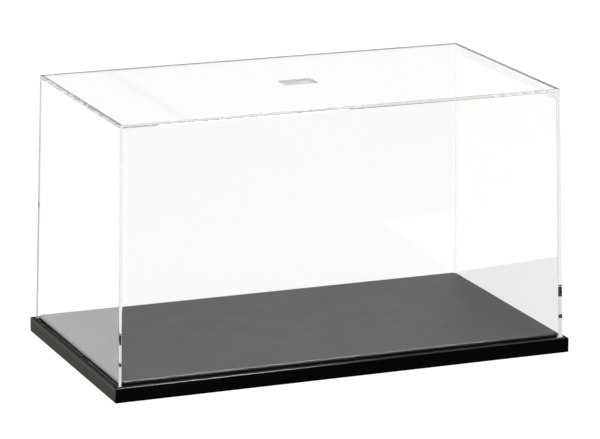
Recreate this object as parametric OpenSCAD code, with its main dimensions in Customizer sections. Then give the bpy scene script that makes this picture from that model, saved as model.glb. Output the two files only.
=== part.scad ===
// Display case for a scale model: a clear box cover on a ribbed base tray.
// Millimetres. +Z is up and the long side runs along X.
// The origin lies on the table, under the middle of the case.

/* [Case] */
// Length of the base, the longest side of the case
case_length = 245; // [160:1:320]
// Depth of the base, front to back
case_depth = 137; // [100:1:200]
// Height of the closed case
case_height = 137; // [70:1:220]

/* [Base] */
// Height of the ledge that carries the cover
ledge_height = 7.4; // [6:0.1:12]
// Rise of the display deck above the ledge
deck_rise = 2.1; // [1.5:0.1:4]
// Thickness of the deck, the ledge and the skirt
base_wall = 2; // [1.6:0.1:2.6]
// Gap between the deck and the foot of the cover, on each side
seat_clearance = 0.3; // [0.2:0.05:1]
// Corner radius of the deck, seen from above
deck_corner_radius = 1.5; // [1.5:0.1:8]
// Rounding of the upper edge of the deck
deck_edge_radius = 1.4; // [0.4:0.1:1.4]
// Corner radius of the base, seen from above
base_corner_radius = 0.5; // [0.5:0.1:3]
// Rounding of the upper edge of the ledge
ledge_edge_radius = 0.4; // [0.2:0.05:0.45]

/* [Ribs under the base] */
// Number of ribs that run front to back
cross_ribs = 9; // [3:2:13]
// Number of ribs that run along the base
long_ribs = 5; // [3:2:7]
// Thickness of a rib at its free lower edge
rib_tip = 1.1; // [0.8:0.1:1.5]
// Thickness of a rib where it meets the deck
rib_root = 1.6; // [1.5:0.1:2.2]
// Height of the rib edges above the table
rib_recess = 0.6; // [0.3:0.1:1.5]
// Diameter of the ejector pads on the rib crossings
ejector_pad_diameter = 6; // [4:0.5:9]

/* [Cover] */
// Width of the ledge left bare outside the cover
ledge_reveal = 2.4; // [1:0.1:5]
// Thickness of the four cover walls
cover_wall = 1.7; // [1.5:0.1:3]
// Thickness of the top of the cover
cover_top = 1.8; // [1.5:0.1:3]
// Inward lean of each cover wall, in degrees
cover_draft = 1.39; // [0.5:0.01:2.5]
// Rounding of the outer edges round the top
cover_edge_radius = 0.3; // [0.2:0.1:1]
// Fillet between the walls and the top, inside
cover_inner_fillet = 0.4; // [0.3:0.1:2]
// Chamfer on the four upright outer edges
cover_outer_chamfer = 0.2; // [0.1:0.1:0.8]
// Chamfer in the four upright inner corners
cover_inner_chamfer = 0.2; // [0.1:0.1:1]

/* [Gate recess in the top of the cover] */
// Length of the frosted recess round the moulding gate
recess_length = 18; // [8:0.5:30]
// Width of the frosted recess
recess_width = 12; // [8:0.5:24]
// Depth of the frosted recess
recess_depth = 0.3; // [0.2:0.05:0.5]
// Corner radius of the frosted recess
recess_corner_radius = 1.5; // [0.5:0.1:3]
// Diameter of the gate mark in the recess
gate_diameter = 3; // [1.5:0.1:5]
// Height of the gate mark above the floor of the recess
gate_height = 0.15; // [0.05:0.05:0.2]

/* [Hidden] */
$fn = 64;

// Foot of the cover on the ledge, outside and inside
foot_length = case_length - 2 * ledge_reveal;
foot_depth = case_depth - 2 * ledge_reveal;
foot_inner_length = foot_length - 2 * cover_wall;
foot_inner_depth = foot_depth - 2 * cover_wall;

// The deck locates the foot of the cover from inside
deck_length = foot_inner_length - 2 * seat_clearance;
deck_depth = foot_inner_depth - 2 * seat_clearance;
deck_height = ledge_height + deck_rise;
skirt_inner_radius = 1;

// Heights of the cover above the ledge
cover_height = case_height - ledge_height;
cover_inner_height = cover_height - cover_top;

// Ribs stand in even rows between the skirt's inner faces
cross_pitch = (case_length - 2 * base_wall) / (cross_ribs + 1);
long_pitch = (case_depth - 2 * base_wall) / (long_ribs + 1);

// Spare length of a cutting or crossing shape, past the faces it meets
spare = 1;

// Flat outline with round corners, centred on the origin
module round_outline(length, depth, radius) {
    square([length - 2 * radius, depth], center = true);
    square([length, depth - 2 * radius], center = true);
    for (x = [-1, 1], y = [-1, 1])
        translate([x * (length / 2 - radius), y * (depth / 2 - radius)])
            circle(r = radius);
}

// Upright section: straight walls that may lean in, with rounded upper corners.
// The width is taken at height 0, and below is how far the walls run on past it.
module rounded_section(width, height, radius, lean = 0, below = 0) {
    low_x = width / 2 + below * tan(lean);
    // Centre of the rounding and the point where it runs into the wall
    centre_x = width / 2 - height * tan(lean) - radius * (1 - sin(lean)) / cos(lean);
    centre_y = height - radius;
    wall_x = centre_x + radius * cos(lean);
    wall_y = centre_y + radius * sin(lean);
    polygon([
        [-low_x, -below],
        [low_x, -below],
        [wall_x, wall_y],
        [centre_x, height],
        [-centre_x, height],
        [-wall_x, wall_y]
    ]);
    for (x = [-1, 1])
        translate([x * centre_x, centre_y])
            circle(r = radius);
}

// Plate that stands on z = 0, with round corners and a rounded upper edge:
// two crossing bars of the same section, and the section swept round each corner
module soft_plate(length, depth, height, corner_radius, edge_radius) {
    straight_length = length - 2 * corner_radius;
    straight_depth = depth - 2 * corner_radius;
    rotate([90, 0, 90])
        linear_extrude(straight_length, center = true)
            rounded_section(depth, height, edge_radius);
    rotate([90, 0, 0])
        linear_extrude(straight_depth, center = true)
            rounded_section(length, height, edge_radius);
    for (x = [0, 1], y = [0, 1])
        mirror([x, 0, 0])
            mirror([0, y, 0])
                translate([straight_length / 2, straight_depth / 2, 0])
                    rotate_extrude(angle = 90)
                        intersection() {
                            rounded_section(2 * corner_radius, height, edge_radius);
                            square([corner_radius, height]);
                        }
}

// Outside of the base: the ledge plate with the raised deck on it
module base_form() {
    soft_plate(case_length, case_depth, ledge_height, base_corner_radius, ledge_edge_radius);
    soft_plate(deck_length, deck_depth, deck_height, deck_corner_radius, deck_edge_radius);
}

// Hollow under the base, which follows the step between ledge and deck
module base_hollow() {
    translate([0, 0, -spare])
        linear_extrude(ledge_height - base_wall + spare)
            round_outline(case_length - 2 * base_wall, case_depth - 2 * base_wall, skirt_inner_radius);
    linear_extrude(deck_height - base_wall)
        round_outline(deck_length - 2 * base_wall, deck_depth - 2 * base_wall, skirt_inner_radius);
}

// One moulded rib along X: thinner at its free edge, so that it leaves the tool
module rib(length) {
    rotate([90, 0, 90])
        linear_extrude(length, center = true)
            polygon([
                [-rib_tip / 2, rib_recess],
                [rib_tip / 2, rib_recess],
                [rib_root / 2, deck_height],
                [-rib_root / 2, deck_height]
            ]);
}

// All ribs, with round ejector pads where every second pair of them crosses
module rib_grid() {
    for (i = [1 : cross_ribs])
        translate([-case_length / 2 + base_wall + i * cross_pitch, 0, 0])
            rotate([0, 0, 90])
                rib(case_depth);
    for (j = [1 : long_ribs])
        translate([0, -case_depth / 2 + base_wall + j * long_pitch, 0])
            rib(case_length);
    for (i = [2 : 2 : cross_ribs - 1], j = [2 : 2 : long_ribs - 1])
        translate([
            -case_length / 2 + base_wall + i * cross_pitch,
            -case_depth / 2 + base_wall + j * long_pitch,
            rib_recess
        ])
            cylinder(d = ejector_pad_diameter, h = deck_height);
}

// Base tray: the ribs are what is left standing in its hollow
module base() {
    color("#16171a")
        difference() {
            base_form();
            difference() {
                base_hollow();
                rib_grid();
            }
        }
}

// Cuts along the four upright edges, which lean in with both of their walls
module upright_edge_cuts(length, depth, height, chamfer) {
    edge_lean = atan(sqrt(2) * tan(cover_draft));
    for (x = [0, 1], y = [0, 1])
        mirror([x, 0, 0])
            mirror([0, y, 0])
                translate([length / 2, depth / 2, 0])
                    rotate([0, -edge_lean, 45])
                        translate([-chamfer / sqrt(2), -height / 2, -height / 2])
                            cube([height, height, 2 * height]);
}

// Block with four drafted walls: where the two upright sections cross
module drafted_block(length, depth, height, radius, chamfer, below = 0) {
    difference() {
        intersection() {
            rotate([90, 0, 0])
                linear_extrude(depth + 2 * spare, center = true)
                    rounded_section(length, height, radius, cover_draft, below);
            rotate([90, 0, 90])
                linear_extrude(length + 2 * spare, center = true)
                    rounded_section(depth, height, radius, cover_draft, below);
        }
        upright_edge_cuts(length, depth, height, chamfer);
    }
}

// Shallow recess that keeps the gate mark below the top face
module gate_recess() {
    difference() {
        translate([0, 0, -recess_depth])
            linear_extrude(recess_depth + spare)
                round_outline(recess_length, recess_width, recess_corner_radius);
        translate([0, 0, -recess_depth - spare])
            cylinder(d = gate_diameter, h = spare + gate_height);
    }
}

// Clear cover: one thin-walled moulding, open below
module clear_cover() {
    color("#dfe9ee", 0.35)
        translate([0, 0, ledge_height])
            difference() {
                drafted_block(
                    foot_length, foot_depth, cover_height,
                    cover_edge_radius, cover_outer_chamfer
                );
                drafted_block(
                    foot_inner_length, foot_inner_depth, cover_inner_height,
                    cover_inner_fillet, cover_inner_chamfer, below = spare
                );
                translate([0, 0, cover_height])
                    gate_recess();
            }
}

base();
clear_cover();
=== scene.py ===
"""Clear box cover on a black base tray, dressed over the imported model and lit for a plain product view."""

import math

import bpy
from mathutils import Matrix, Vector


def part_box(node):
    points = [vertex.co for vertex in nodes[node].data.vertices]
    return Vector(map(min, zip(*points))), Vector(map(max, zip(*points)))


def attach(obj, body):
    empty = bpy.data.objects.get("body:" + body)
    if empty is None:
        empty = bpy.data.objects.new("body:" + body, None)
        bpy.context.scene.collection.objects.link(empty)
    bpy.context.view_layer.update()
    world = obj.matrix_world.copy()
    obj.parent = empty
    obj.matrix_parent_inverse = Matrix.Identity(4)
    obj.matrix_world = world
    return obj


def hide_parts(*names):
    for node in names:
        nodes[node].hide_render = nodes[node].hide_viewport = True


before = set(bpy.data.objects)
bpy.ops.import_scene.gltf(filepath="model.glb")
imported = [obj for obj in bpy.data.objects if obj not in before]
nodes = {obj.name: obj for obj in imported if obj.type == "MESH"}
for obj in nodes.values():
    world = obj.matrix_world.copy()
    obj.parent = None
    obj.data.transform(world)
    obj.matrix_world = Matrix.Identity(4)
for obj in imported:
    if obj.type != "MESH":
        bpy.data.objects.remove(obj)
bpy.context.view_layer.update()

MM = 0.001

# ---------------------------------------------------------------- sizes, in metres
cover_low, cover_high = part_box("clear_cover")
BASE_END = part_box("base")[1].x
CASE_TOP = cover_high.z
LEDGE_HEIGHT = cover_low.z
FOOT_LENGTH = cover_high.x - cover_low.x
FOOT_DEPTH = cover_high.y - cover_low.y

WALL = 1.7 * MM
TOP_THICKNESS = 1.8 * MM
DRAFT = math.radians(1.39)
EDGE_RADIUS = 0.3 * MM
EDGE_STEPS = 4

# Straight part of the step between ledge and deck
RISER = 0.7 * MM

# The moulded foot isn't dead flat: a film of air stays under it, except where it bears on the ledge
AIR_FILM = 0.05 * MM
# How deep a bearing land sinks into the ledge and into the foot, so that no air shows there
BITE = 0.01 * MM

RECESS_LENGTH = 18 * MM
RECESS_WIDTH = 12 * MM
RECESS_DEPTH = 0.3 * MM
RECESS_RADIUS = 1.5 * MM
GATE_RADIUS = 1.5 * MM
GATE_HEIGHT = 0.15 * MM
CORNER_STEPS = 6
GATE_SIDES = 32

# How far a cutting shape runs on past the face it cuts
SPARE = 1 * MM

# Where the two end walls bear on the ledge, as stretches along Y
BEARING_STRETCHES = ((-17.6 * MM, -8.1 * MM), (38.4 * MM, 64.4 * MM))

# ---------------------------------------------------------------- camera
LENS_MM = 205.05
SENSOR_MM = 36.0
FARTHEST_SEEN = 50.0
CAMERA_PLACE = Vector((-0.6350, -1.5739, 0.4975))
CAMERA_YAW = math.radians(22.017)
CAMERA_PITCH = math.radians(14.301)
CAMERA_ROLL = math.radians(0.23)


def make_camera():
    data = bpy.data.cameras.new("camera")
    data.lens = LENS_MM
    data.sensor_width = SENSOR_MM
    data.sensor_fit = "HORIZONTAL"
    data.clip_end = FARTHEST_SEEN
    camera = bpy.data.objects.new("camera", data)
    bpy.context.scene.collection.objects.link(camera)
    turn = (
        Matrix.Rotation(-CAMERA_YAW, 4, "Z")
        @ Matrix.Rotation(math.pi / 2 - CAMERA_PITCH, 4, "X")
        @ Matrix.Rotation(CAMERA_ROLL, 4, "Z")
    )
    camera.matrix_world = Matrix.Translation(CAMERA_PLACE) @ turn
    bpy.context.scene.camera = camera


# ---------------------------------------------------------------- node trees
class Graph:
    """A node tree with one call per node: sockets take a value, or another node's output."""

    def __init__(self, tree):
        self.tree = tree
        self.inputs = None

    def node(self, kind, settings=None, sockets=None):
        made = self.tree.nodes.new(kind)
        for name, value in (settings or {}).items():
            setattr(made, name, value)
        for name, value in (sockets or {}).items():
            if isinstance(value, bpy.types.NodeSocket):
                self.tree.links.new(value, made.inputs[name])
            else:
                made.inputs[name].default_value = value
        return made

    def math(self, operation, first, second=0.0):
        """Arithmetic on two numbers, in a shader or a geometry tree."""
        return self.node("ShaderNodeMath", {"operation": operation}, {0: first, 1: second}).outputs[0]

    def combine(self, x, y, z):
        return self.node("ShaderNodeCombineXYZ", None, {"X": x, "Y": y, "Z": z}).outputs[0]

    def separate(self, vector):
        return self.node("ShaderNodeSeparateXYZ", None, {"Vector": vector}).outputs


def new_tree(name, kind, inputs, outputs):
    """A node group with named inputs and outputs: {name: (socket type, default or None)}."""
    tree = bpy.data.node_groups.new(name, kind)
    for label, (socket_type, value) in inputs.items():
        socket = tree.interface.new_socket(label, in_out="INPUT", socket_type=socket_type)
        if value is not None:
            socket.default_value = value
    for label, socket_type in outputs.items():
        tree.interface.new_socket(label, in_out="OUTPUT", socket_type=socket_type)
    graph = Graph(tree)
    graph.inputs = graph.node("NodeGroupInput").outputs
    return graph


FLOAT = "NodeSocketFloat"
GEOMETRY = "NodeSocketGeometry"
MATERIAL = "NodeSocketMaterial"


def drafted_block_tree():
    """Block that stands on z = 0 and whose four walls lean in; it may run on below."""
    graph = new_tree(
        "drafted_block",
        "GeometryNodeTree",
        {name: (FLOAT, 0.0) for name in ("Length", "Depth", "Height", "Below", "Slope")},
        {"Block": GEOMETRY},
    )
    size = graph.inputs
    whole = graph.math("ADD", size["Height"], size["Below"])
    lift = graph.math("MULTIPLY", graph.math("SUBTRACT", size["Height"], size["Below"]), 0.5)
    block = graph.node(
        "GeometryNodeMeshCube", None, {"Size": graph.combine(size["Length"], size["Depth"], whole)}
    )
    x, y, z = graph.separate(graph.node("GeometryNodeInputPosition").outputs[0])
    lean = graph.math("MULTIPLY", graph.math("ADD", z, lift), size["Slope"])
    inwards = graph.math("MULTIPLY", lean, -1.0)
    offset = graph.combine(
        graph.math("MULTIPLY", graph.math("SIGN", x), inwards),
        graph.math("MULTIPLY", graph.math("SIGN", y), inwards),
        lift,
    )
    leaning = graph.node(
        "GeometryNodeSetPosition", None, {"Geometry": block.outputs["Mesh"], "Offset": offset}
    )
    graph.node("NodeGroupOutput", None, {"Block": leaning.outputs[0]})
    return graph.tree


def cut(graph, body, tool):
    """What is left of body where the tool has been."""
    return graph.node(
        "GeometryNodeMeshBoolean", {"operation": "DIFFERENCE", "solver": "EXACT"}, {0: body, 1: tool}
    ).outputs["Mesh"]


def finish_tree(graph, geometry, material):
    """Ends a geometry tree in real mesh with its material."""
    real = graph.node("GeometryNodeRealizeInstances", None, {"Geometry": geometry})
    painted = graph.node(
        "GeometryNodeSetMaterial", None, {"Geometry": real.outputs[0], "Material": material}
    )
    graph.node("NodeGroupOutput", None, {"Geometry": painted.outputs[0]})


def cover_shell_tree():
    """The open box of the cover, with a bevel weight on every edge but those round the foot."""
    sizes = ("Length", "Depth", "Height", "Wall", "Top", "Slope", "Spare")
    inputs = {"Geometry": (GEOMETRY, None), "Material": (MATERIAL, None)}
    inputs.update({name: (FLOAT, 0.0) for name in sizes})
    graph = new_tree("cover_shell", "GeometryNodeTree", inputs, {"Geometry": GEOMETRY})
    size = graph.inputs
    block_tree = drafted_block_tree()

    def block(length, depth, height, below):
        return graph.node(
            "GeometryNodeGroup",
            {"node_tree": block_tree},
            {"Length": length, "Depth": depth, "Height": height, "Below": below, "Slope": size["Slope"]},
        ).outputs[0]

    both_walls = graph.math("MULTIPLY", size["Wall"], 2.0)
    outside = block(size["Length"], size["Depth"], size["Height"], 0.0)
    inside = block(
        graph.math("SUBTRACT", size["Length"], both_walls),
        graph.math("SUBTRACT", size["Depth"], both_walls),
        graph.math("SUBTRACT", size["Height"], size["Top"]),
        size["Spare"],
    )
    shell = cut(graph, outside, inside)
    height = graph.separate(graph.node("GeometryNodeInputPosition").outputs[0])[2]
    weighted = graph.node(
        "GeometryNodeStoreNamedAttribute",
        {"data_type": "FLOAT", "domain": "EDGE"},
        {
            "Geometry": shell,
            "Name": "bevel_weight_edge",
            "Value": graph.math("GREATER_THAN", height, size["Top"]),
        },
    )
    finish_tree(graph, weighted.outputs[0], size["Material"])
    return graph.tree


def gate_recess_tree():
    """Sinks the round-cornered recess with its gate mark into the top, and frosts its faces."""
    sizes = ("Top Height", "Length", "Width", "Depth", "Corner", "Gate Radius", "Gate Height", "Spare")
    inputs = {
        "Geometry": (GEOMETRY, None),
        "Material": (MATERIAL, None),
        "Frosted": (MATERIAL, None),
    }
    inputs.update({name: (FLOAT, 0.0) for name in sizes})
    graph = new_tree("gate_recess", "GeometryNodeTree", inputs, {"Geometry": GEOMETRY})
    size = graph.inputs
    outline = graph.node(
        "GeometryNodeCurvePrimitiveQuadrilateral", None, {"Width": size["Length"], "Height": size["Width"]}
    )
    rounded = graph.node(
        "GeometryNodeFilletCurve",
        {"mode": "POLY"},
        {"Curve": outline.outputs[0], "Radius": size["Corner"], "Count": CORNER_STEPS},
    )
    plate = graph.node("GeometryNodeFillCurve", {"mode": "NGONS"}, {"Curve": rounded.outputs[0]})
    tall = graph.math("ADD", size["Depth"], size["Spare"])
    raised = graph.node(
        "GeometryNodeExtrudeMesh",
        {"mode": "FACES"},
        {"Mesh": plate.outputs[0], "Offset": graph.combine(0.0, 0.0, tall), "Individual": False},
    )
    underside = graph.node("GeometryNodeFlipFaces", None, {"Mesh": plate.outputs[0]})
    joined = graph.node("GeometryNodeJoinGeometry")
    graph.tree.links.new(raised.outputs["Mesh"], joined.inputs[0])
    graph.tree.links.new(underside.outputs[0], joined.inputs[0])
    closed = graph.node("GeometryNodeMergeByDistance", None, {"Geometry": joined.outputs[0]})
    floor_height = graph.math("SUBTRACT", size["Top Height"], size["Depth"])
    pocket = graph.node(
        "GeometryNodeTransform",
        None,
        {"Geometry": closed.outputs[0], "Translation": graph.combine(0.0, 0.0, floor_height)},
    )
    twice_gate_height = graph.math("MULTIPLY", size["Gate Height"], 2.0)
    gate = graph.node(
        "GeometryNodeMeshCylinder",
        None,
        {"Vertices": GATE_SIDES, "Radius": size["Gate Radius"], "Depth": twice_gate_height},
    )
    gate_in_place = graph.node(
        "GeometryNodeTransform",
        None,
        {"Geometry": gate.outputs["Mesh"], "Translation": graph.combine(0.0, 0.0, floor_height)},
    )
    pocket_round_gate = cut(graph, pocket.outputs[0], gate_in_place.outputs[0])
    sunk = cut(graph, size["Geometry"], pocket_round_gate)
    real = graph.node("GeometryNodeRealizeInstances", None, {"Geometry": sunk})
    clear = graph.node(
        "GeometryNodeSetMaterial", None, {"Geometry": real.outputs[0], "Material": size["Material"]}
    )
    # Faces of the recess lie between its floor and the top, near the middle of the cover.
    # The margin is under half its depth, so its side faces count, and the reach is just past its ends.
    x, _, z = graph.separate(graph.node("GeometryNodeInputPosition").outputs[0])
    margin = graph.math("MULTIPLY", size["Depth"], 0.4)
    below_top = graph.math("LESS_THAN", z, graph.math("SUBTRACT", size["Top Height"], margin))
    above_floor = graph.math("GREATER_THAN", z, graph.math("SUBTRACT", floor_height, margin))
    reach = graph.math("MULTIPLY", size["Length"], 0.55)
    within = graph.math("LESS_THAN", graph.math("ABSOLUTE", x), reach)
    frosted = graph.node(
        "GeometryNodeSetMaterial",
        None,
        {
            "Geometry": clear.outputs[0],
            "Selection": graph.math("MULTIPLY", within, graph.math("MULTIPLY", below_top, above_floor)),
            "Material": size["Frosted"],
        },
    )
    graph.node("NodeGroupOutput", None, {"Geometry": frosted.outputs[0]})
    return graph.tree


def bearing_lands_tree():
    """Flat lands on the ledge, one stretch on each end, mirrored from end to end."""
    sizes = ("Inner", "Width", "Start", "End", "Bottom", "Height")
    inputs = {"Geometry": (GEOMETRY, None), "Material": (MATERIAL, None)}
    inputs.update({name: (FLOAT, 0.0) for name in sizes})
    graph = new_tree("bearing_lands", "GeometryNodeTree", inputs, {"Geometry": GEOMETRY})
    size = graph.inputs
    length = graph.math("SUBTRACT", size["End"], size["Start"])
    land = graph.node(
        "GeometryNodeMeshCube", None, {"Size": graph.combine(size["Width"], length, size["Height"])}
    )
    middle = graph.math("ADD", size["Inner"], graph.math("MULTIPLY", size["Width"], 0.5))
    centre_y = graph.math("MULTIPLY", graph.math("ADD", size["Start"], size["End"]), 0.5)
    centre_z = graph.math("ADD", size["Bottom"], graph.math("MULTIPLY", size["Height"], 0.5))
    ends = graph.node(
        "GeometryNodeMeshLine",
        {"mode": "OFFSET"},
        {
            "Count": 2,
            "Start Location": graph.combine(graph.math("MULTIPLY", middle, -1.0), centre_y, centre_z),
            "Offset": graph.combine(graph.math("MULTIPLY", middle, 2.0), 0.0, 0.0),
        },
    )
    lands = graph.node(
        "GeometryNodeInstanceOnPoints",
        None,
        {"Points": ends.outputs[0], "Instance": land.outputs["Mesh"]},
    )
    joined = graph.node("GeometryNodeJoinGeometry")
    graph.tree.links.new(size["Geometry"], joined.inputs[0])
    graph.tree.links.new(lands.outputs[0], joined.inputs[0])
    finish_tree(graph, joined.outputs[0], size["Material"])
    return graph.tree


def grow(piece, tree, values):
    """Adds a geometry tree to a piece, with its inputs set by the sockets' identifiers."""
    modifier = piece.modifiers.new(tree.name, "NODES")
    modifier.node_group = tree
    for socket in tree.interface.items_tree:
        if socket.item_type == "SOCKET" and socket.in_out == "INPUT" and socket.name in values:
            modifier[socket.identifier] = values[socket.name]


def empty_piece(name):
    piece = bpy.data.objects.new(name, bpy.data.meshes.new(name))
    bpy.context.scene.collection.objects.link(piece)
    return piece


def settle(piece):
    """Turns what the modifiers make into a plain mesh and takes the modifiers off."""
    bpy.context.view_layer.update()
    graph = bpy.context.evaluated_depsgraph_get()
    mesh = bpy.data.meshes.new_from_object(piece.evaluated_get(graph), depsgraph=graph)
    mesh.name = piece.name
    # The first slot is what the primitive meshes came with: nothing
    while mesh.materials[0] is None:
        mesh.materials.pop(index=0)
    piece.modifiers.clear()
    piece.data = mesh


# ---------------------------------------------------------------- materials
def new_material(name):
    material = bpy.data.materials.new(name)
    material.use_nodes = True
    material.node_tree.nodes.clear()
    return material, Graph(material.node_tree)


def moulded_surface_group():
    """Marks that moulding leaves: slow waviness of the tool and a fine grain, as a height and a mask."""
    graph = new_tree(
        "moulded_surface",
        "ShaderNodeTree",
        {
            "Wave Size": (FLOAT, 30 * MM),
            "Grain Size": (FLOAT, 0.4 * MM),
            "Grain Share": (FLOAT, 0.5),
        },
        {"Height": FLOAT, "Cloud": FLOAT, "Grain": FLOAT},
    )
    place = graph.node("ShaderNodeTexCoord").outputs["Object"]

    def noise(size, detail):
        scale = graph.math("DIVIDE", 1.0, size)
        return graph.node(
            "ShaderNodeTexNoise", None, {"Vector": place, "Scale": scale, "Detail": detail}
        ).outputs[0]

    cloud = noise(graph.inputs["Wave Size"], 2.0)
    grain = noise(graph.inputs["Grain Size"], 3.0)
    share = graph.inputs["Grain Share"]
    height = graph.math(
        "ADD",
        graph.math("MULTIPLY", grain, share),
        graph.math("MULTIPLY", cloud, graph.math("SUBTRACT", 1.0, share)),
    )
    graph.node("NodeGroupOutput", None, {"Height": height, "Cloud": cloud, "Grain": grain})
    return graph.tree


def between(graph, mask, low, high):
    """A value that runs from low to high with a mask."""
    return graph.node("ShaderNodeMapRange", None, {"Value": mask, "To Min": low, "To Max": high}).outputs[0]


def choose(graph, mask, plain, masked):
    """The plain value where a mask is 0, and the other where it is 1."""
    return graph.node("ShaderNodeMix", {"data_type": "FLOAT"}, {0: mask, 2: plain, 3: masked}).outputs[0]


def tint(graph, mask, low, high):
    """A colour that runs from low to high with a mask."""
    ends = {0: mask, 6: (*low, 1.0), 7: (*high, 1.0)}
    return graph.node("ShaderNodeMix", {"data_type": "RGBA"}, ends).outputs[2]


def moulded(graph, surface_group, wave_size, grain_size, grain_share):
    """The marks of moulding, at the sizes that one finish has."""
    return graph.node(
        "ShaderNodeGroup",
        {"node_tree": surface_group},
        {"Wave Size": wave_size, "Grain Size": grain_size, "Grain Share": grain_share},
    ).outputs


def relief(graph, height, depth):
    """A normal for a surface whose height runs over this depth."""
    return graph.node(
        "ShaderNodeBump", None, {"Height": height, "Strength": 1.0, "Distance": depth}
    ).outputs[0]


ACRYLIC_IOR = 1.49
STYRENE_IOR = 1.59
# Tint that light takes on along a run inside a wall, and how strongly per metre
WALL_TINT = (0.30, 0.32, 0.30, 1.0)
ABSORPTION = 1.0
# What a clear wall passes of the light that crosses it on the way to other things
PASSED_LIGHT = (0.92, 0.92, 0.92, 1.0)
# Tones of the acrylic, from one end of its faint cloudiness to the other
CLEAR_TONES = ((0.994, 1.0, 0.985), (0.998, 1.0, 0.990))
FROSTED_TONES = ((0.93, 0.94, 0.92), (0.97, 0.98, 0.96))
# Darkest and lightest tone of the black plastic, free and where the cover touches it
STYRENE_BLACKS = ((0.0006, 0.0006, 0.0006), (0.0012, 0.0012, 0.0011))
CONTACT_BLACKS = ((0.0012, 0.0010, 0.0024), (0.0022, 0.0018, 0.0040))
# Roughness of each finish, at its smoothest and at its roughest
FROSTED = (0.35, 0.55)
IN_CONTACT = (0.30, 0.40)
POLISHED = (0.12, 0.15)
SATIN = (0.38, 0.46)
MATT = (0.96, 1.0)
# Depth of the relief that moulding leaves
TOOL_WAVES = 0.002 * MM
SPARK_GRAIN = 0.03 * MM
SATIN_GRAIN = 0.003 * MM
# What polished and matt faces keep of the satin relief
FAINT = 0.1
# How far from its nominal height a face still counts as the ledge
LEDGE_TOLERANCE = 0.03 * MM


def show_clear(graph, glass):
    """Light passes a clear piece on its way to other things; everything else sees real glass.
    The long way along a wall takes some of the light, and the way across it next to none."""
    path = graph.node("ShaderNodeLightPath").outputs
    see_through = graph.node("ShaderNodeBsdfTransparent", None, {"Color": PASSED_LIGHT})
    either = graph.math("MAXIMUM", path["Is Shadow Ray"], path["Is Diffuse Ray"])
    mix = graph.node("ShaderNodeMixShader", None, {"Fac": either})
    graph.tree.links.new(glass, mix.inputs[1])
    graph.tree.links.new(see_through.outputs[0], mix.inputs[2])
    body = graph.node("ShaderNodeVolumeAbsorption", None, {"Color": WALL_TINT, "Density": ABSORPTION})
    graph.node("ShaderNodeOutputMaterial", None, {"Surface": mix.outputs[0], "Volume": body.outputs[0]})


def make_clear_acrylic(surface_group):
    """Water-clear moulded acrylic with a trace of warmth and very slow waves from the tool."""
    material, graph = new_material("clear_acrylic")
    marks = moulded(graph, surface_group, wave_size=60 * MM, grain_size=4 * MM, grain_share=0.02)
    glass = graph.node(
        "ShaderNodeBsdfPrincipled",
        None,
        {
            "Base Color": tint(graph, marks["Cloud"], *CLEAR_TONES),
            "Transmission Weight": 1.0,
            "Roughness": 0.0,
            "IOR": ACRYLIC_IOR,
            "Normal": relief(graph, marks["Height"], TOOL_WAVES),
        },
    )
    show_clear(graph, glass.outputs[0])
    return material


def make_frosted_acrylic(surface_group):
    """Acrylic with the spark-eroded grain of the gate recess."""
    material, graph = new_material("frosted_acrylic")
    marks = moulded(graph, surface_group, wave_size=4 * MM, grain_size=0.3 * MM, grain_share=0.8)
    glass = graph.node(
        "ShaderNodeBsdfPrincipled",
        None,
        {
            "Base Color": tint(graph, marks["Cloud"], *FROSTED_TONES),
            "Transmission Weight": 1.0,
            "Roughness": between(graph, marks["Grain"], *FROSTED),
            "IOR": ACRYLIC_IOR,
            "Normal": relief(graph, marks["Height"], SPARK_GRAIN),
        },
    )
    show_clear(graph, glass.outputs[0])
    return material


def make_contact_black(surface_group):
    """Black styrene where the foot of the cover touches it: next to acrylic it hardly mirrors."""
    material, graph = new_material("black_styrene_in_contact")
    marks = moulded(graph, surface_group, wave_size=3 * MM, grain_size=0.5 * MM, grain_share=0.5)
    body = graph.node(
        "ShaderNodeBsdfPrincipled",
        None,
        {
            "Base Color": tint(graph, marks["Cloud"], *CONTACT_BLACKS),
            "Roughness": between(graph, marks["Grain"], *IN_CONTACT),
            "IOR": STYRENE_IOR / ACRYLIC_IOR,
        },
    )
    graph.node("ShaderNodeOutputMaterial", None, {"Surface": body.outputs[0]})
    return material


def make_black_styrene(surface_group):
    """Black moulded styrene: fine satin grain on the deck, a matt ledge, and polished faces elsewhere."""
    material, graph = new_material("black_styrene")
    marks = moulded(graph, surface_group, wave_size=12 * MM, grain_size=0.5 * MM, grain_share=0.6)
    height = graph.separate(graph.node("ShaderNodeTexCoord").outputs["Object"])[2]
    on_deck = graph.math("GREATER_THAN", height, LEDGE_HEIGHT + RISER)
    on_ledge = graph.node(
        "ShaderNodeMath", {"operation": "COMPARE"}, {0: height, 1: LEDGE_HEIGHT, 2: LEDGE_TOLERANCE}
    ).outputs[0]
    polished = between(graph, marks["Cloud"], *POLISHED)
    matt = between(graph, marks["Cloud"], *MATT)
    satin = between(graph, marks["Cloud"], *SATIN)
    roughness = choose(graph, on_deck, choose(graph, on_ledge, polished, matt), satin)
    grain = graph.math("MULTIPLY", marks["Height"], between(graph, on_deck, FAINT, 1.0))
    body = graph.node(
        "ShaderNodeBsdfPrincipled",
        None,
        {
            "Base Color": tint(graph, marks["Cloud"], *STYRENE_BLACKS),
            "Roughness": roughness,
            "IOR": STYRENE_IOR,
            "Normal": relief(graph, grain, SATIN_GRAIN),
        },
    )
    graph.node("ShaderNodeOutputMaterial", None, {"Surface": body.outputs[0]})
    return material


# ---------------------------------------------------------------- studio
FLOOR_HALF = 8.0
# A touch over white, because two clear walls in a row pass only 85 % of it
WHITE = 1.19
# What reflections find of the unlit side of the room, behind the camera
UNLIT = 0.012
# Where the white backdrop ends and the unlit room begins: 1 is straight ahead of the camera
BACKDROP_EDGE = (0.85, 0.75)
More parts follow.
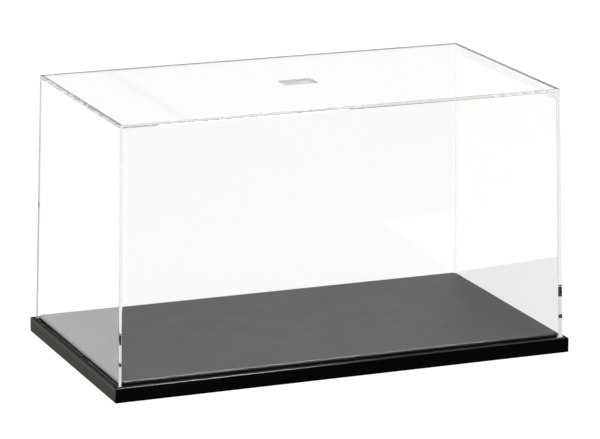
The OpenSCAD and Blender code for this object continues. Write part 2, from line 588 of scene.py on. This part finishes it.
# Reflections find the room lighter overhead, fading in between these heights: 0 is level, 1 straight up
OVERHEAD_EDGE = (0.35, 0.6)
OVERHEAD = 0.1
# Strength of the tent for diffuse light
TENT = 0.35

# Share of the floor's light that is its own; the rest is lamplight, which carries the shadow
GLOW_SHARE = 0.82
FLOOR_WHITE = (1.0, 1.0, 1.0, 1.0)
FLOOR_GREY = (0.86, 0.86, 0.86, 1.0)
# Where the floor turns dark towards the front in reflections, along Y
FRONT_EDGE = (-60 * MM, -70 * MM)
# Floor as reflections find it: painted shade in a strip close to each end of the base, standing in for the
# contact shade there, and lit floor farther out
SHADED_STRIP = 8.1 * MM
STRIP_BLUR = 0.3 * MM
SHADED_FLOOR = (0.262, 0.264, 0.232)
LIT_FLOOR = (1.0, 1.0, 0.98)

# Bounces up to which light counts as a reflection; past them it has come down inside a wall
REFLECTIONS = 8
# What is left of the light after each bounce inside a wall, and how many bounces are followed
KEPT_AT_A_BOUNCE = 0.995
BOUNCES = 300
# Clear faces that a shadow or diffuse ray may pass
CLEAR_FACES_PASSED = 16

LAMP_PLACE = (0.305, -0.15, 1.0)
LAMP_SIZE = (0.16, 1.5)
LAMP_WATTS = 12.0


def fade(graph, value, edge, start, end):
    """A value that goes smoothly from start to end while another passes over an edge."""
    return graph.node(
        "ShaderNodeMapRange",
        {"interpolation_type": "SMOOTHSTEP"},
        {"Value": value, "From Min": edge[0], "From Max": edge[1], "To Min": start, "To Max": end},
    ).outputs[0]


def mirrored(graph, path):
    """1 for what the first reflections find, and 0 for what is seen straight or far down inside a wall."""
    some = graph.math("GREATER_THAN", path["Glossy Depth"], 0.5)
    few = graph.math("LESS_THAN", path["Glossy Depth"], REFLECTIONS + 0.5)
    return graph.math("MULTIPLY", some, few)


def guided_white(graph, path):
    """White, less what light loses at each bounce on its way down inside a wall."""
    left = graph.math("POWER", KEPT_AT_A_BOUNCE, path["Glossy Depth"])
    return graph.math("MULTIPLY", left, WHITE)


def make_floor():
    """White floor with the case's soft shadow. Reflections find it dark in front of the case,
    and find painted shade in a strip beside each end of the base."""
    floor = empty_piece("floor")
    corners = [(x * FLOOR_HALF, y * FLOOR_HALF, 0.0) for x, y in ((-1, -1), (1, -1), (1, 1), (-1, 1))]
    floor.data.from_pydata(corners, [], [(0, 1, 2, 3)])
    material, graph = new_material("white_floor")
    path = graph.node("ShaderNodeLightPath").outputs
    reflected = mirrored(graph, path)
    place = graph.separate(graph.node("ShaderNodeTexCoord").outputs["Object"])
    front = fade(graph, place[1], FRONT_EDGE, 1.0, UNLIT)
    # Distance from the middle line of the shaded strip beside each end of the base
    half_strip = SHADED_STRIP / 2
    off_middle = graph.math("SUBTRACT", graph.math("ABSOLUTE", place[0]), BASE_END + half_strip)
    strip_edge = (half_strip - STRIP_BLUR, half_strip + STRIP_BLUR)
    # Painted shade: reflections find the floor darker in the strip, lit outside it
    lit = fade(graph, graph.math("ABSOLUTE", off_middle), strip_edge, 0.0, 1.0)
    mirrored_colour = tint(graph, lit, SHADED_FLOOR, LIT_FLOOR)
    colour = graph.node(
        "ShaderNodeMix", {"data_type": "RGBA"}, {0: reflected, 6: FLOOR_WHITE, 7: mirrored_colour}
    )
    shown = choose(graph, reflected, guided_white(graph, path), front)
    glow = graph.node("ShaderNodeEmission", None, {"Color": colour.outputs[2], "Strength": shown})
    matt = graph.node("ShaderNodeBsdfDiffuse", None, {"Color": FLOOR_GREY})
    share = choose(graph, reflected, GLOW_SHARE, 1.0)
    mix = graph.node("ShaderNodeMixShader", None, {"Fac": share})
    graph.tree.links.new(matt.outputs[0], mix.inputs[1])
    graph.tree.links.new(glow.outputs[0], mix.inputs[2])
    graph.node("ShaderNodeOutputMaterial", None, {"Surface": mix.outputs[0]})
    floor.data.materials.append(material)


def make_world():
    """Plain light tent: white all round, with an unlit room behind the camera as reflections see it."""
    world = bpy.data.worlds.new("studio")
    bpy.context.scene.world = world
    world.use_nodes = True
    world.node_tree.nodes.clear()
    graph = Graph(world.node_tree)
    path = graph.node("ShaderNodeLightPath").outputs
    direction = graph.separate(graph.node("ShaderNodeTexCoord").outputs["Generated"])
    # How far a direction turns from the level way the camera looks: 1 straight ahead, -1 straight back
    ahead = graph.math(
        "ADD",
        graph.math("MULTIPLY", direction[0], math.sin(CAMERA_YAW)),
        graph.math("MULTIPLY", direction[1], math.cos(CAMERA_YAW)),
    )
    room = fade(graph, ahead, BACKDROP_EDGE, WHITE, UNLIT)
    above = fade(graph, direction[2], OVERHEAD_EDGE, 0.0, OVERHEAD)
    around = graph.math("MAXIMUM", room, above)
    seen = choose(graph, mirrored(graph, path), guided_white(graph, path), around)
    strength = choose(graph, path["Is Diffuse Ray"], seen, TENT)
    light = graph.node("ShaderNodeBackground", None, {"Strength": strength})
    graph.node("ShaderNodeOutputWorld", None, {"Surface": light.outputs[0]})


def make_lamp():
    """One plain panel lamp overhead, level and long from front to back."""
    data = bpy.data.lights.new("overhead", "AREA")
    data.shape = "RECTANGLE"
    data.size, data.size_y = LAMP_SIZE
    data.energy = LAMP_WATTS
    lamp = bpy.data.objects.new("overhead", data)
    lamp.matrix_world = Matrix.Translation(LAMP_PLACE)
    bpy.context.scene.collection.objects.link(lamp)


# ---------------------------------------------------------------- pieces
def make_cover(clear, frosted):
    cover = empty_piece("moulded_cover")
    foot = LEDGE_HEIGHT + AIR_FILM
    height = CASE_TOP - foot
    grow(
        cover,
        cover_shell_tree(),
        {
            "Material": clear,
            "Length": FOOT_LENGTH,
            "Depth": FOOT_DEPTH,
            "Height": height,
            "Wall": WALL,
            "Top": TOP_THICKNESS,
            "Slope": math.tan(DRAFT),
            "Spare": SPARE,
        },
    )
    bevel = cover.modifiers.new("edges", "BEVEL")
    bevel.limit_method = "WEIGHT"
    bevel.width = EDGE_RADIUS
    bevel.segments = EDGE_STEPS
    bevel.use_clamp_overlap = False
    grow(
        cover,
        gate_recess_tree(),
        {
            "Material": clear,
            "Frosted": frosted,
            "Top Height": height,
            "Length": RECESS_LENGTH,
            "Width": RECESS_WIDTH,
            "Depth": RECESS_DEPTH,
            "Corner": RECESS_RADIUS,
            "Gate Radius": GATE_RADIUS,
            "Gate Height": GATE_HEIGHT,
            "Spare": SPARE,
        },
    )
    settle(cover)
    cover.data.transform(Matrix.Translation((0.0, 0.0, foot)))
    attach(cover, "cover")
    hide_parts("clear_cover")


def make_bearing_lands(black):
    lands = empty_piece("bearing_lands")
    tree = bearing_lands_tree()
    for start, end in BEARING_STRETCHES:
        grow(
            lands,
            tree,
            {
                "Material": black,
                "Inner": FOOT_LENGTH / 2 - WALL,
                "Width": WALL,
                "Start": start,
                "End": end,
                "Bottom": LEDGE_HEIGHT - BITE,
                "Height": AIR_FILM + 2 * BITE,
            },
        )
    settle(lands)
    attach(lands, "base")


def dress_base(black):
    materials = nodes["base"].data.materials
    materials.clear()
    materials.append(black)


def set_scene():
    scene = bpy.context.scene
    scene.view_settings.view_transform = "Standard"
    scene.cycles.max_bounces = BOUNCES
    scene.cycles.glossy_bounces = BOUNCES
    scene.cycles.transmission_bounces = BOUNCES
    scene.cycles.transparent_max_bounces = CLEAR_FACES_PASSED
    scene.cycles.caustics_reflective = False
    scene.cycles.caustics_refractive = False


make_camera()
make_floor()
make_world()
make_lamp()

surface = moulded_surface_group()
clear_acrylic = make_clear_acrylic(surface)
frosted_acrylic = make_frosted_acrylic(surface)
black_styrene = make_black_styrene(surface)

dress_base(black_styrene)
make_cover(clear_acrylic, frosted_acrylic)
make_bearing_lands(make_contact_black(surface))
set_scene()
